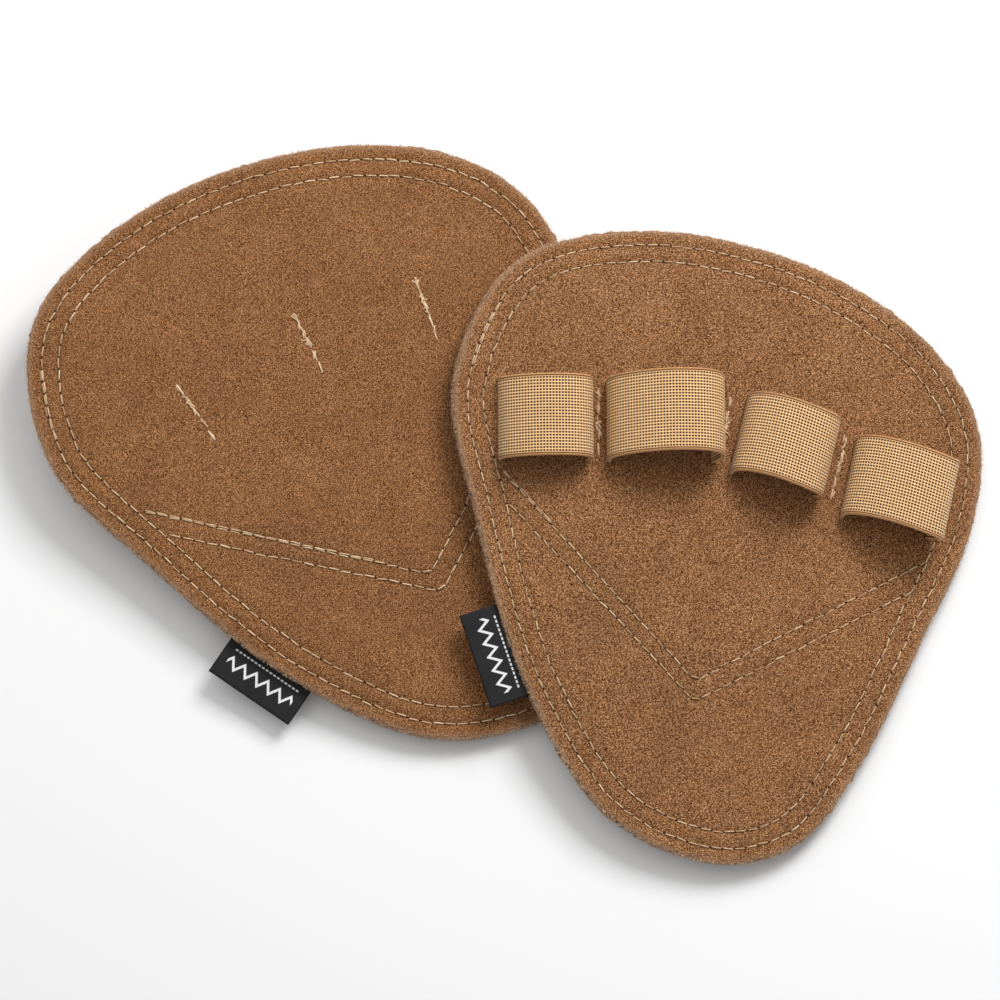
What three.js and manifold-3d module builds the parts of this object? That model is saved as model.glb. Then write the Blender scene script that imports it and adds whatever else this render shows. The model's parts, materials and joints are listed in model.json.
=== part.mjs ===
// A pair of weight-lifting hand grips: suede palm pads with four elastic finger loops each.
// The left-hand grip lies bar side up on its loops; the right-hand grip lies on it, loops up.
// Millimetres, +Z up. Each grip is built with its bar face on z = 0 and its palm face at
// z = PAD_THICKNESS, finger end towards +Y, and is then laid down in place.
import * as THREE from "three";
import { mergeVertices } from "three/addons/utils/BufferGeometryUtils.js";
import Module from "manifold-3d";

const wasm = await Module();
wasm.setup();

// Layers, counted from the bar face.
const SUEDE_THICKNESS = 1.3;
const CORE_THICKNESS = 2.0;
const LAYER_GAP = 0.05;
const CORE_LOW = SUEDE_THICKNESS + LAYER_GAP;
const CORE_HIGH = CORE_LOW + CORE_THICKNESS;
const PALM_LOW = CORE_HIGH + LAYER_GAP;
const PAD_THICKNESS = PALM_LOW + SUEDE_THICKNESS;

// The pad's outline: a wide finger end, long straight flanks and a narrow rounded tip.
const OUTLINE = [
  [0.7, -76.9],
  [19.5, -71.9],
  [34.7, -52.3],
  [49.9, -21.8],
  [62.0, 5.4],
  [63.9, 29.5],
  [52.4, 49.8],
  [23.3, 68.7],
  [-18.0, 76.9],
  [-50.2, 68.4],
  [-65.0, 39.5],
  [-59.3, 6.5],
  [-46.3, -36.1],
  [-26.0, -66.4],
];
const OUTLINE_SEGMENTS = 84;

// The crease under the loops, where the flap folds.
const CREASE_Y = 5.7;
const CREASE_ANGLE = -10.4;
const CREASE_GAP = 0.3;
const SEAM_CREASE_GAP = 1.2;

// Seams: two rows round the edge and two rows in a V.
const OUTER_SEAM_INSET = 3.4;
const INNER_SEAM_INSET = 7.4;
const SEAM_WIDTH = 0.8;
const THREAD_HEIGHT = 0.25;
const THREAD_SINK = 0.02;
const GROOVE_DEPTH = 0.35;
const GROOVE_CLEARANCE = 0.1;
const V_UPPER = [
  [-49.8, 13.4],
  [-6.0, -33.2],
  [47.8, -4.7],
];
const V_LOWER = [
  [-50.6, 8.2],
  [-6.0, -38.2],
  [45.6, -11.3],
];

// Woven elastic loops. Each stands on its slits at `centre`, its row turned by `angle`; `slip` is
// how far its crown is pushed towards the little finger. A loop that stands free also bulges
// sideways, leans towards the fingertips and drops on the little-finger side.
const BAND_WIDTH = 20;
const BAND_THICKNESS = 1.2;
const BAND_CLEARANCE = 0.35;
const FOOT_LOW = CORE_HIGH - LAYER_GAP - BAND_THICKNESS;
const SHORT_FOOT = 1.5;
const LONG_FOOT = 3.5;
const ARCH_SEGMENTS = 14;
const ARCH_SQUARENESS = 2.7;
const LOOPS = [
  {
    finger: "index",
    centre: [-43.4, 29.6],
    angle: 1,
    span: 21.0,
    slip: 1.5,
    bulge: 0.8,
    lean: 0.02,
    drop: 0,
    feet: [LONG_FOOT, SHORT_FOOT],
  },
  {
    finger: "middle",
    centre: [-14.6, 29.7],
    angle: 1,
    span: 25.2,
    slip: 3.2,
    bulge: 1.5,
    lean: 0.12,
    drop: 0,
    feet: [SHORT_FOOT, SHORT_FOOT],
  },
  {
    finger: "ring",
    centre: [15.2, 24.4],
    angle: -13.5,
    span: 21.0,
    slip: 2.2,
    bulge: 0.8,
    lean: 0.05,
    drop: 0.12,
    feet: [SHORT_FOOT, SHORT_FOOT],
  },
  {
    finger: "little",
    centre: [42.5, 14.6],
    angle: -12,
    span: 21.4,
    slip: 5.6,
    bulge: 1.2,
    lean: 0.03,
    drop: 0.14,
    feet: [SHORT_FOOT, LONG_FOOT],
  },
];

// Bartacks between neighbouring loops: centre and the direction of the long axis.
const TACK_LENGTH = 16;
const TACK_WIDTH = 1.4;
const TACKS = [
  { between: "index_middle", centre: [-29.9, 29.7], angle: 91 },
  { between: "middle_ring", centre: [1.4, 28.4], angle: 82 },
  { between: "ring_little", centre: [29.2, 19.4], angle: 76 },
];

// Folded woven label in the edge seam on the index-finger side, below the crease.
const LABEL_LENGTH = 23.4;
const LABEL_REACH = 9.0;
const LABEL_ROOT = 6.0;
const LABEL_SETBACK = 0.6;
const LABEL_GAP = 0.5;
const LABEL_THICKNESS = 0.85;
const LABEL_FOLD_GAP = 0.15;
const LABEL_LOW = CORE_HIGH - LAYER_GAP - LABEL_THICKNESS;

// How the two grips lie. `patternScale` is the difference between the two hand-cut pads;
// `rises` are the loops' heights, free on the right grip and pressed down under the left one;
// `label` is where the label leaves the edge and which way it points.
const RIGHT = {
  name: "right",
  patternScale: 1.0,
  rises: [10.0, 13.5, 11.5, 13.0],
  standsFree: true,
  label: { centre: [-50.19, -26.27], angle: 199.5 },
  threadOnPalmFace: true,
  palmDown: false,
  turn: -0.5,
  tiltAxisAngle: 60,
  tilt: 5.85,
  position: [0, -1.26, 5.72],
};
const LEFT = {
  name: "left",
  patternScale: 1.03,
  rises: [7.95, 7.95, 7.5, 6.7],
  standsFree: false,
  label: { centre: [-49.01, -29.7], angle: 201.2 },
  threadOnPalmFace: false,
  palmDown: true,
  turn: 34.7,
  tiltAxisAngle: 0,
  tilt: 4.57,
  position: [-84.4, 23.2, 11.03],
};

const COLOURS = {
  palm_suede: 0xa5764f,
  bar_suede: 0x9c6c46,
  core: 0x1b1b1d,
  thread: 0xb8946c,
  elastic: 0xd9ac6c,
  label: 0x17171a,
};
const ROUGHNESS = {
  palm_suede: 0.95,
  bar_suede: 0.93,
  core: 0.8,
  thread: 0.7,
  elastic: 0.75,
  label: 0.6,
};

const radians = THREE.MathUtils.degToRad;

function scaled(points, scale) {
  return points.map(([x, y]) => new THREE.Vector2(x * scale, y * scale));
}

function closedCurve(points, segments) {
  const knots = points.map((p) => new THREE.Vector3(p.x, p.y, 0));
  const curve = new THREE.CatmullRomCurve3(knots, true, "centripetal");
  return curve.getSpacedPoints(segments).slice(0, segments).map((p) => new THREE.Vector2(p.x, p.y));
}

// The left-hand normal at each point of a line, lengthened at corners to keep a constant offset.
function mitres(points, closed) {
  const last = points.length - 1;
  return points.map((p, i) => {
    const before = points[i > 0 ? i - 1 : closed ? last : 0];
    const after = points[i < last ? i + 1 : closed ? 0 : last];
    const a = i > 0 || closed ? p.clone().sub(before).normalize() : after.clone().sub(p).normalize();
    const b = i < last || closed ? after.clone().sub(p).normalize() : a.clone();
    const normal = new THREE.Vector2(-a.y - b.y, a.x + b.x).normalize();
    return normal.divideScalar(Math.max(0.5, normal.dot(new THREE.Vector2(-a.y, a.x))));
  });
}

function offset(points, distance, closed) {
  const normals = mitres(points, closed);
  return points.map((p, i) => p.clone().addScaledVector(normals[i], distance));
}

function ribbon(points, width) {
  const upper = offset(points, width / 2, false);
  const lower = offset(points, -width / 2, false);
  return lower.concat(upper.reverse());
}

// An open line with both ends moved outwards.
function lengthened(points, extra) {
  const copy = points.map((p) => p.clone());
  const last = copy.length - 1;
  const start = points[0].clone().sub(points[1]).normalize();
  const end = points[last].clone().sub(points[last - 1]).normalize();
  copy[0].addScaledVector(start, extra);
  copy[last].addScaledVector(end, extra);
  return copy;
}

function slab(points, low, high, hole) {
  const shape = new THREE.Shape(points);
  if (hole) {
    shape.holes.push(new THREE.Path(hole));
  }
  const geometry = new THREE.ExtrudeGeometry(shape, { depth: high - low, bevelEnabled: false });
  return geometry.translate(0, 0, low);
}

function block(x0, x1, y0, y1, z0, z1) {
  const geometry = new THREE.BoxGeometry(x1 - x0, y1 - y0, z1 - z0);
  return geometry.translate((x0 + x1) / 2, (y0 + y1) / 2, (z0 + z1) / 2);
}

function bare(geometry) {
  const copy = new THREE.BufferGeometry();
  copy.setAttribute("position", geometry.getAttribute("position"));
  copy.setIndex(geometry.getIndex());
  return mergeVertices(copy, 1e-4);
}

function solid(geometry) {
  const merged = bare(geometry);
  return new wasm.Manifold(
    new wasm.Mesh({
      numProp: 3,
      vertProperties: new Float32Array(merged.getAttribute("position").array),
      triVerts: new Uint32Array(merged.getIndex().array),
    }),
  );
}

function geometryOf(body) {
  const mesh = body.getMesh();
  const geometry = new THREE.BufferGeometry();
  geometry.setAttribute("position", new THREE.BufferAttribute(mesh.vertProperties, 3));
  geometry.setIndex(new THREE.BufferAttribute(mesh.triVerts, 1));
  return geometry;
}

// Turns a palm-up geometry over, so that its palm face looks down.
function flipped(geometry) {
  const copy = bare(geometry).scale(1, 1, -1);
  const index = copy.getIndex().array;
  for (let i = 0; i < index.length; i += 3) {
    [index[i + 1], index[i + 2]] = [index[i + 2], index[i + 1]];
  }
  return copy;
}

// All of the pad on one side of the crease, less half of a gap.
function creaseSide(scale, side, gap) {
  const reach = 200;
  const near = (side * gap) / 2;
  const far = side * reach;
  const box = block(-reach, reach, Math.min(near, far), Math.max(near, far), -reach, reach);
  return solid(box.rotateZ(radians(CREASE_ANGLE)).translate(0, CREASE_Y * scale, 0));
}

// A piece that the crease divides into a finger part and a flap part.
function creased(body, scale, gap) {
  return {
    finger: geometryOf(body.intersect(creaseSide(scale, 1, gap))),
    flap: geometryOf(body.intersect(creaseSide(scale, -1, gap))),
  };
}

function placedBox(centre, angle, scale, box) {
  return box.rotateZ(radians(angle)).translate(centre[0] * scale, centre[1] * scale, 0);
}

function slitCutters(loop, scale) {
  const halfSlit = BAND_THICKNESS / 2 + BAND_CLEARANCE;
  const halfLength = BAND_WIDTH / 2 + BAND_CLEARANCE;
  return [-1, 1].map((side) => {
    const u = (side * loop.span) / 2;
    const box = block(u - halfSlit, u + halfSlit, -halfLength, halfLength, CORE_HIGH, PAD_THICKNESS + 1);
    return solid(placedBox(loop.centre, loop.angle, scale, box));
  });
}

// The beds that the band's feet are pressed into.
function footBeds(loop, scale) {
  const halfLength = BAND_WIDTH / 2 + BAND_CLEARANCE;
  const inside = BAND_THICKNESS / 2 + BAND_CLEARANCE;
  return [-1, 1].map((side) => {
    const u = (side * loop.span) / 2;
    const outside = loop.feet[side < 0 ? 0 : 1] + BAND_CLEARANCE;
    const ends = [u - side * inside, u + side * outside].sort((a, b) => a - b);
    const box = block(ends[0], ends[1], -halfLength, halfLength, FOOT_LOW - 0.1, PALM_LOW);
    return solid(placedBox(loop.centre, loop.angle, scale, box));
  });
}

function labelBox(x0, x1, clearance, z0, z1, lay) {
  const half = LABEL_LENGTH / 2 + clearance;
  const box = block(x0, x1, -half, half, z0, z1);
  return placedBox(lay.label.centre, lay.label.angle, lay.patternScale, box);
}

// The middle line of a band, seen along the finger: a foot under the suede, up through a slit,
// over the finger and down again.
function loopLine(loop, rise, bulge) {
  const half = loop.span / 2;
  const footZ = FOOT_LOW + BAND_THICKNESS / 2;
  const crown = rise - BAND_THICKNESS / 2;
  const line = [new THREE.Vector2(-half - loop.feet[0], footZ), new THREE.Vector2(-half, footZ)];
  for (let i = 0; i <= ARCH_SEGMENTS; i += 1) {
    const t = (Math.PI * i) / ARCH_SEGMENTS;
    const across = Math.sign(Math.cos(t)) * Math.abs(Math.cos(t)) ** (2 / ARCH_SQUARENESS);
    const up = Math.abs(Math.sin(t)) ** (2 / ARCH_SQUARENESS);
    const reach = half + bulge * Math.sin(Math.PI * up);
    line.push(new THREE.Vector2(loop.slip * up * up - reach * across, PAD_THICKNESS + crown * up));
  }
  line.push(new THREE.Vector2(half, footZ), new THREE.Vector2(half + loop.feet[1], footZ));
  return line;
}

function loopGeometry(loop, rise, standsFree, scale) {
  const line = loopLine(loop, rise, standsFree ? loop.bulge : 0);
  const profile = slab(ribbon(line, BAND_THICKNESS), -BAND_WIDTH / 2, BAND_WIDTH / 2);
  profile.rotateX(Math.PI / 2);
  const position = profile.getAttribute("position");
  for (let i = 0; standsFree && i < position.count; i += 1) {
    const above = Math.max(0, position.getZ(i) - PAD_THICKNESS);
    const drop = (loop.drop * position.getX(i) * above) / rise;
    position.setY(i, position.getY(i) + loop.lean * above - drop);
  }
  return placedBox(loop.centre, loop.angle, scale, profile);
}

// The outer part of the label: one strip folded over, open towards the pad.
function labelFlag(lay) {
  const leaf = (LABEL_THICKNESS - LABEL_FOLD_GAP) / 2;
  const end = LABEL_GAP + LABEL_REACH;
  const z1 = LABEL_LOW + LABEL_THICKNESS;
  const profile = [
    [LABEL_GAP, LABEL_LOW],
    [end, LABEL_LOW],
    [end, z1],
    [LABEL_GAP, z1],
    [LABEL_GAP, z1 - leaf],
    [end - leaf, z1 - leaf],
    [end - leaf, LABEL_LOW + leaf],
    [LABEL_GAP, LABEL_LOW + leaf],
  ];
  const points = profile.map(([x, z]) => new THREE.Vector2(x, z));
  const strip = slab(points, -LABEL_LENGTH / 2, LABEL_LENGTH / 2).rotateX(Math.PI / 2);
  return placedBox(lay.label.centre, lay.label.angle, lay.patternScale, strip);
}

function cutAll(body, cutters) {
  return cutters.reduce((rest, cutter) => rest.subtract(cutter), body);
}

// The levels of the threads and of the grooves that keep them just under the upper face.
function threadLevels(lay) {
  const threadLow = lay.threadOnPalmFace ? PAD_THICKNESS - THREAD_SINK - THREAD_HEIGHT : THREAD_SINK;
  return {
    threadLow,
    threadHigh: threadLow + THREAD_HEIGHT,
    grooveLow: lay.threadOnPalmFace ? PAD_THICKNESS - GROOVE_DEPTH : -1,
    grooveHigh: lay.threadOnPalmFace ? PAD_THICKNESS + 1 : GROOVE_DEPTH,
  };
}

function seamRing(outline, inset, width, low, high) {
  const outside = offset(outline, inset - width / 2, true);
  const inside = offset(outline, inset + width / 2, true);
  return solid(slab(outside, low, high, inside));
}

function tackBox(tack, clearance, low, high, scale) {
  const x = TACK_LENGTH / 2 + clearance;
  const y = TACK_WIDTH / 2 + clearance;
  return placedBox(tack.centre, tack.angle, scale, block(-x, x, -y, y, low, high));
}

function threadGrooves(lay, outline) {
  const { grooveLow, grooveHigh } = threadLevels(lay);
  const width = SEAM_WIDTH + 2 * GROOVE_CLEARANCE;
  const rings = [OUTER_SEAM_INSET, INNER_SEAM_INSET].map((inset) => {
    return seamRing(outline, inset, width, grooveLow, grooveHigh);
  });
  const rows = [V_UPPER, V_LOWER].map((row) => {
    const line = lengthened(scaled(row, lay.patternScale), GROOVE_CLEARANCE);
    return solid(slab(ribbon(line, width), grooveLow, grooveHigh));
  });
  const tacks = TACKS.map((tack) => {
    return solid(tackBox(tack, GROOVE_CLEARANCE, grooveLow, grooveHigh, lay.patternScale));
  });
  return [...rings, ...rows, ...tacks];
}

// A piece cut in two by the crease: its finger part and its flap part.
function creasedPieces(name, slot, body, scale, gap) {
  const parts = creased(body, scale, gap);
  return [
    { name: `${name}_finger`, slot, geometry: parts.finger },
    { name: `${name}_flap`, slot, geometry: parts.flap },
  ];
}

function padPieces(lay, outline) {
  const scale = lay.patternScale;
  const grooves = threadGrooves(lay, outline);
  const slits = LOOPS.flatMap((loop) => slitCutters(loop, scale));
  const beds = LOOPS.flatMap((loop) => footBeds(loop, scale));
  const labelBed = solid(labelBox(-LABEL_ROOT - 1, 5, 0.4, LABEL_LOW - 0.1, PALM_LOW, lay));
  const palmCuts = lay.threadOnPalmFace ? [...slits, ...grooves] : slits;
  const barCuts = lay.threadOnPalmFace ? [] : grooves;
  const palm = cutAll(solid(slab(outline, PALM_LOW, PAD_THICKNESS)), palmCuts);
  const core = cutAll(solid(slab(outline, CORE_LOW, CORE_HIGH)), [...beds, labelBed]);
  const bar = cutAll(solid(slab(outline, 0, SUEDE_THICKNESS)), barCuts);
  return [
    ...creasedPieces("palm_suede", "palm_suede", palm, scale, CREASE_GAP),
    ...creasedPieces("core", "core", core, scale, CREASE_GAP),
    ...creasedPieces("bar_suede", "bar_suede", bar, scale, CREASE_GAP),
  ];
}

function seamPieces(lay, outline) {
  const scale = lay.patternScale;
  const { threadLow, threadHigh } = threadLevels(lay);
  const outer = seamRing(outline, OUTER_SEAM_INSET, SEAM_WIDTH, threadLow, threadHigh);
  const inner = seamRing(outline, INNER_SEAM_INSET, SEAM_WIDTH, threadLow, threadHigh);
  const row = (points) => slab(ribbon(scaled(points, scale), SEAM_WIDTH), threadLow, threadHigh);
  return [
    ...creasedPieces("outer_seam", "thread", outer, scale, SEAM_CREASE_GAP),
    ...creasedPieces("inner_seam", "thread", inner, scale, SEAM_CREASE_GAP),
    { name: "v_seam_upper", slot: "thread", geometry: row(V_UPPER) },
    { name: "v_seam_lower", slot: "thread", geometry: row(V_LOWER) },
  ];
}

function tackPieces(lay) {
  const { threadLow, threadHigh } = threadLevels(lay);
  return TACKS.map((tack) => ({
    name: `tack_${tack.between}`,
    slot: "thread",
    geometry: tackBox(tack, 0, threadLow, threadHigh, lay.patternScale),
  }));
}

function loopPieces(lay) {
  return LOOPS.map((loop, i) => ({
    name: `loop_${loop.finger}`,
    slot: "elastic",
    geometry: loopGeometry(loop, lay.rises[i], lay.standsFree, lay.patternScale),
  }));
}

function labelPieces(lay) {
  const top = LABEL_LOW + LABEL_THICKNESS;
  const root = labelBox(-LABEL_ROOT, -LABEL_SETBACK, 0, LABEL_LOW, top, lay);
  return [
    { name: "label_root", slot: "label", geometry: root },
    { name: "label_flag", slot: "label", geometry: labelFlag(lay) },
  ];
}

function meshOf(piece, lay) {
  const material = new THREE.MeshStandardMaterial({
    color: COLOURS[piece.slot],
    roughness: ROUGHNESS[piece.slot],
    metalness: 0,
  });
  const mesh = new THREE.Mesh(lay.palmDown ? flipped(piece.geometry) : piece.geometry, material);
  mesh.name = `${lay.name}_${piece.name}`;
  return mesh;
}

function layDown(group, lay) {
  const direction = radians(lay.tiltAxisAngle);
  const axis = new THREE.Vector3(Math.cos(direction), Math.sin(direction), 0);
  const tilt = new THREE.Quaternion().setFromAxisAngle(axis, radians(lay.tilt));
  const turn = new THREE.Quaternion().setFromAxisAngle(new THREE.Vector3(0, 0, 1), radians(lay.turn));
  group.quaternion.copy(turn.multiply(tilt));
  group.position.set(...lay.position);
}

function grip(lay) {
  const outline = closedCurve(scaled(OUTLINE, lay.patternScale), OUTLINE_SEGMENTS);
  const pieces = [
    ...padPieces(lay, outline),
    ...seamPieces(lay, outline),
    ...tackPieces(lay),
    ...loopPieces(lay),
    ...labelPieces(lay),
  ];
  const group = new THREE.Group();
  group.name = `${lay.name}_grip`;
  for (const piece of pieces) {
    group.add(meshOf(piece, lay));
  }
  layDown(group, lay);
  return group;
}

// The pair stands on z = 0 with its outer box centred on the origin.
const pair = new THREE.Group();
pair.add(grip(LEFT), grip(RIGHT));
const box = new THREE.Box3().setFromObject(pair, true);
const centre = box.getCenter(new THREE.Vector3());
pair.position.set(-centre.x, -centre.y, -box.min.z);

const group = new THREE.Group();
group.name = "hand_grips";
group.add(pair);

export default group;
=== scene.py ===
"""A pair of suede hand grips: napped suede, lockstitched seams, pin-hole elastic loops, woven labels."""
import json
import math

import bpy
import numpy as np
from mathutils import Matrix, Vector
from mathutils.geometry import delaunay_2d_cdt


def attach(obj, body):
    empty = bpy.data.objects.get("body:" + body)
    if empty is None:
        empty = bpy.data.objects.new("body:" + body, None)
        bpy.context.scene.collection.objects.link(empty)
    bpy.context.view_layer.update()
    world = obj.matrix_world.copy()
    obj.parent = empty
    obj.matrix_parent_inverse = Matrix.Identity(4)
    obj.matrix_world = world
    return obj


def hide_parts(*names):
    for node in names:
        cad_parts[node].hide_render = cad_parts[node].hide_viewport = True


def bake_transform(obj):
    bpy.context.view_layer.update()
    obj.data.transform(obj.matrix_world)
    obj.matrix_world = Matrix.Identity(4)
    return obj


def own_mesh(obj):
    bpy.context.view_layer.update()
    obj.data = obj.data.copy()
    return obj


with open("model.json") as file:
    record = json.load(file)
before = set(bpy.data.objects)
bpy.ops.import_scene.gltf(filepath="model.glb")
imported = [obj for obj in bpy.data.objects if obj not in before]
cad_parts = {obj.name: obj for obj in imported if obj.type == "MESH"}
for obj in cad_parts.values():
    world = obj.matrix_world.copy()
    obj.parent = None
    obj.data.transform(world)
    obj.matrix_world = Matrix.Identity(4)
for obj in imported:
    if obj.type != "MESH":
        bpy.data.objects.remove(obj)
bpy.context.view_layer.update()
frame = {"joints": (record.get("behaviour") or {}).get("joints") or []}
JOINTS = {j["name"]: j for j in frame["joints"]}
MM = 0.001

# ---------------------------------------------------------------- pattern, in millimetres
# Both grips share one pattern: x across the palm, y towards the fingers, z out of the palm face.
OUTLINE = [(0.7, -76.9), (19.5, -71.9), (34.7, -52.3), (49.9, -21.8), (62.0, 5.4), (63.9, 29.5),
           (52.4, 49.8), (23.3, 68.7), (-18.0, 76.9), (-50.2, 68.4), (-65.0, 39.5), (-59.3, 6.5),
           (-46.3, -36.1), (-26.0, -66.4)]
EDGE_POINTS = 432
# Heights through the pad, from the bar face (0) to the palm face (PAD).
SUEDE = 1.3
CORE_LOW, CORE_HIGH = 1.35, 3.35
PALM_LOW = 3.40
PAD = 4.70
PATTERN_SCALE = {"left": 1.03, "right": 1.0}
CREASE_Y, CREASE_ANGLE = 5.7, math.radians(-10.4)
OUTER_ROW, INNER_ROW = 3.4, 7.4
V_UPPER = [(-53.2, 17.0), (-6.0, -33.2), (51.6, -2.6)]
V_LOWER = [(-51.4, 9.0), (-6.0, -38.2), (47.4, -10.4)]
BAND_WIDTH, BAND_THICKNESS = 20.0, 1.2
# Each loop: middle of its base, turn in degrees, distance between its legs, how far its crown slips
# sideways, how far its legs bulge, how its crown leans back and drops, and how long its two feet are.
LOOPS = {
    "index": dict(centre=(-43.4, 29.6), angle=1.0, span=21.0, slip=1.5, bulge=0.8, lean=0.02, drop=0.0,
                  feet=(3.5, 1.5)),
    "middle": dict(centre=(-14.6, 29.7), angle=1.0, span=25.2, slip=3.2, bulge=1.5, lean=0.12, drop=0.0,
                   feet=(1.5, 1.5)),
    "ring": dict(centre=(15.2, 24.4), angle=-13.5, span=21.0, slip=2.2, bulge=0.8, lean=0.05, drop=0.12,
                 feet=(1.5, 1.5)),
    "little": dict(centre=(42.5, 14.6), angle=-12.0, span=21.4, slip=5.6, bulge=1.2, lean=0.03, drop=0.14,
                   feet=(1.5, 3.5)),
}
RISES = {"right": dict(index=10.0, middle=13.5, ring=11.5, little=13.0),
         "left": dict(index=7.95, middle=7.95, ring=7.5, little=6.7)}
# Superellipse power of a loop's two shoulders: 2 is round, more is squarer.
SQUARENESS = {"left": (2.7, 2.7), "right": (1.9, 2.9)}
# Bartacks: middle and turn in degrees. Labels: middle of the root line and turn in radians.
TACKS = [((-29.9, 29.7), 91.0), ((1.4, 28.4), 82.0), ((29.2, 19.4), 76.0)]
TACK_LENGTH = 16.0
LABELS = {"right": ((-50.19, -26.27), math.radians(199.5)), "left": ((-49.01, -29.7), math.radians(201.2))}
LABEL_LENGTH, LABEL_REACH, LABEL_GAP = 23.4, 9.0, 0.5
LABEL_LOW, LABEL_HIGH = 2.45, 3.30
LABEL_MIDDLE = (LABEL_LOW + LABEL_HIGH) / 2
LABEL_ROOT = 5.0
BEND_ABOVE, BEND_BELOW = 3.0, 7.0
SLIT_PLAY = 0.15


# ---------------------------------------------------------------- frames
def grip_frame(side):
    """4x4 matrix from a grip's own millimetres (palm up) to the row frame in metres."""
    palm = -Vector(JOINTS[f"{side}_index_loop_press"]["axis"])
    along = Vector(JOINTS[f"{side}_flap_fold"]["axis"]) * (1 if side == "left" else -1)
    face = palm if side == "right" else -palm
    across = face.cross(along)
    c, s = math.cos(CREASE_ANGLE), math.sin(CREASE_ANGLE)
    x = (along * c - across * s).normalized()
    y = (along * s + across * c).normalized()
    crease = Vector(JOINTS[f"{side}_flap_fold"]["pos_m"])
    origin = crease - y * (CREASE_Y * PATTERN_SCALE[side] * MM) - palm * (PAD * MM)
    m = np.eye(4)
    m[:3, 0], m[:3, 1], m[:3, 2], m[:3, 3] = x * MM, y * MM, palm * MM, origin
    return m


FRAMES = {side: grip_frame(side) for side in ("left", "right")}


def to_row(side, points):
    """Points of a grip's own frame in the row frame, in metres."""
    p = np.asarray(points, float).reshape(-1, 3)
    m = FRAMES[side]
    return p @ m[:3, :3].T + m[:3, 3]


# ---------------------------------------------------------------- plane geometry
def catmull(points, n):
    """A closed centripetal Catmull-Rom curve, n points evenly spaced along it."""
    p = np.array(points, float)
    fine = []
    for i in range(len(p)):
        a, b, c, d = (p[(i + k - 1) % len(p)] for k in range(4))
        t1 = np.linalg.norm(b - a) ** 0.5
        t2 = t1 + np.linalg.norm(c - b) ** 0.5
        t3 = t2 + np.linalg.norm(d - c) ** 0.5
        for t in np.linspace(t1, t2, 40, endpoint=False):
            a1 = (t1 - t) / t1 * a + t / t1 * b
            a2 = (t2 - t) / (t2 - t1) * b + (t - t1) / (t2 - t1) * c
            a3 = (t3 - t) / (t3 - t2) * c + (t - t2) / (t3 - t2) * d
            b1 = (t2 - t) / t2 * a1 + t / t2 * a2
            b2 = (t3 - t) / (t3 - t1) * a2 + (t - t1) / (t3 - t1) * a3
            fine.append((t2 - t) / (t2 - t1) * b1 + (t - t1) / (t2 - t1) * b2)
    return spaced(np.array(fine), n, closed=True)


def spaced(line, n, closed=False):
    """n points evenly spaced along a polyline."""
    pts = np.vstack([line, line[:1]]) if closed else np.asarray(line, float)
    run = np.r_[0, np.cumsum(np.linalg.norm(np.diff(pts, axis=0), axis=1))]
    at = np.linspace(0, run[-1], n, endpoint=not closed)
    return np.c_[np.interp(at, run, pts[:, 0]), np.interp(at, run, pts[:, 1])]


def inset(ring, distance):
    """A ring moved inwards along its normals."""
    ahead, behind = np.roll(ring, -1, 0), np.roll(ring, 1, 0)
    t = ahead - behind
    t /= np.linalg.norm(t, axis=1)[:, None]
    return ring + np.c_[-t[:, 1], t[:, 0]] * distance


def distance_to(points, line, closed=False):
    """Distance from each point to a polyline."""
    a = np.asarray(line, float)
    b = np.roll(a, -1, 0) if closed else a[1:]
    a = a if closed else a[:-1]
    best = np.full(len(points), 1e9)
    px, py = points[:, 0], points[:, 1]
    for p, q in zip(a, b):
        dx, dy = q - p
        t = np.clip(((px - p[0]) * dx + (py - p[1]) * dy) / max(dx * dx + dy * dy, 1e-12), 0, 1)
        best = np.minimum(best, (px - p[0] - t * dx) ** 2 + (py - p[1] - t * dy) ** 2)
    return np.sqrt(best)


def inside(points, ring):
    """Which points lie inside a ring."""
    x, y = points[:, 0], points[:, 1]
    hit = np.zeros(len(points), bool)
    for (x1, y1), (x2, y2) in zip(ring, np.roll(ring, -1, 0)):
        if y1 != y2:
            hit ^= ((y1 > y) != (y2 > y)) & (x < (x2 - x1) * (y - y1) / (y2 - y1) + x1)
    return hit


def turned(centre, degrees, points):
    """Points turned about the origin and moved to a centre."""
    a = math.radians(degrees)
    p = np.asarray(points, float)
    return np.c_[p[:, 0] * math.cos(a) - p[:, 1] * math.sin(a) + centre[0],
                 p[:, 0] * math.sin(a) + p[:, 1] * math.cos(a) + centre[1]]


def noise2(points, scale, seed):
    """Smooth value noise in -1..1."""
    size = 64
    grid = np.random.default_rng(seed).uniform(-1, 1, (size, size))
    p = np.asarray(points)[:, :2] / scale + 1000.0
    i = np.floor(p).astype(int)
    f = p - i
    f = f * f * (3 - 2 * f)

    def corner(dx, dy):
        return grid[(i[:, 0] + dx) % size, (i[:, 1] + dy) % size]

    low = corner(0, 0) * (1 - f[:, 0]) + corner(1, 0) * f[:, 0]
    high = corner(0, 1) * (1 - f[:, 0]) + corner(1, 1) * f[:, 0]
    return low * (1 - f[:, 1]) + high * f[:, 1]


EDGE = catmull(OUTLINE, EDGE_POINTS)
SLITS = []
for spec in LOOPS.values():
    for end in (-1, 1):
        u = end * spec["span"] / 2
        w, h = BAND_THICKNESS / 2 + SLIT_PLAY, BAND_WIDTH / 2 + SLIT_PLAY
        ys = np.linspace(-h, h, 15)
        box = [(u - w, y) for y in ys[::-1]] + [(u + w, y) for y in ys]
        SLITS.append(turned(spec["centre"], spec["angle"], box))


def bell(d, width):
    """1 at distance 0, falling smoothly to nothing."""
    return np.exp(-((d / width) ** 2))


COARSE_EDGE = EDGE[::2]


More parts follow.
